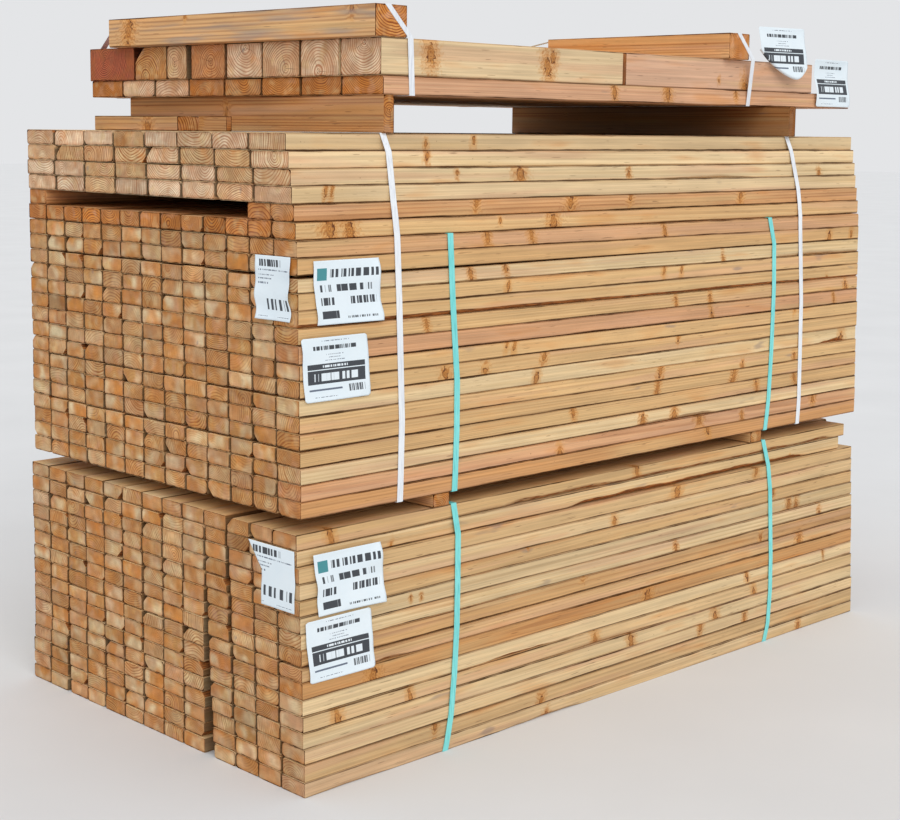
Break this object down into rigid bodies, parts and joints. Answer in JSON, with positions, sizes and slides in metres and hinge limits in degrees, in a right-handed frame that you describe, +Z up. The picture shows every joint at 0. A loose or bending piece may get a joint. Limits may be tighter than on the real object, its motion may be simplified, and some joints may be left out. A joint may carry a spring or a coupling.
{
  "type": "stack of lumber",
  "caption": "Strapped stack of green sawn lumber: two units of studs on stickers, courses of broader boards, and a smaller pack of planks and posts on spacers.",
  "frame": {"origin": "centre of the stack's plan box, on the ground it stands on", "axes": "+X along the boards, away from the ends that show best; -Y is the long side that shows best; +Z up"},
  "size_m": [2.4672, 1.3584, 1.8939],
  "materials": {
    "lower_wood": "fresh sawn, green, tan with orange heart",
    "upper_wood": "fresh sawn, green, pale tan with orange heart",
    "orange_wood": "fresh sawn, green, deep orange",
    "pale_wood": "fresh sawn, pale cream",
    "red_wood": "fresh sawn, pinkish red",
    "tan_wood": "fresh sawn, tan",
    "timber_wood": "fresh sawn, orange tan to dark red",
    "green_strap": "semi-gloss polyester strapping",
    "white_strap": "semi-gloss polyester strapping",
    "paper": "matt paper"
  },
  "bodies": {
    "root": {"block_long": "tan_wood", "block_short": "tan_wood", "broad_course_1": "pale_wood", "broad_course_2": "pale_wood", "broad_course_3": "pale_wood", "broad_course_4": "pale_wood", "front_beam_pale": "pale_wood", "front_beam_red": "red_wood", "green_straps_lower": "green_strap", "green_straps_upper": "green_strap", "labels_lower": "paper", "labels_top": "paper", "labels_upper": "paper", "lower_course_01": "lower_wood", "lower_course_02": "lower_wood", "lower_course_03": "lower_wood", "lower_course_04": "lower_wood", "lower_course_05": "lower_wood", "lower_course_06": "lower_wood", "lower_course_07": "lower_wood", "lower_course_08": "lower_wood", "lower_course_09": "lower_wood", "lower_course_10": "lower_wood", "lower_course_11": "lower_wood", "lower_course_12": "lower_wood", "lower_course_13": "lower_wood", "lower_course_14": "lower_wood", "lower_course_15": "lower_wood", "lower_course_16": "lower_wood", "partial_course": "orange_wood", "plank_layer": "tan_wood", "post_layer": "timber_wood", "rider_course": "orange_wood", "spacer_far": "tan_wood", "spacer_near": "tan_wood", "sticker_far": "tan_wood", "sticker_near": "tan_wood", "timber_far": "timber_wood", "timber_near": "timber_wood", "upper_course_01": "upper_wood", "upper_course_02": "upper_wood", "upper_course_03": "upper_wood", "upper_course_04": "upper_wood", "upper_course_05": "upper_wood", "upper_course_06": "upper_wood", "upper_course_07": "upper_wood", "upper_course_08": "upper_wood", "upper_course_09": "upper_wood", "upper_course_10": "upper_wood", "upper_course_11": "upper_wood", "upper_course_12": "upper_wood", "upper_course_13": "upper_wood", "upper_course_14": "upper_wood", "upper_course_15": "upper_wood", "upper_course_16": "upper_wood", "white_straps_top": "white_strap", "white_straps_upper": "white_strap"}
  },
  "joints": []
}
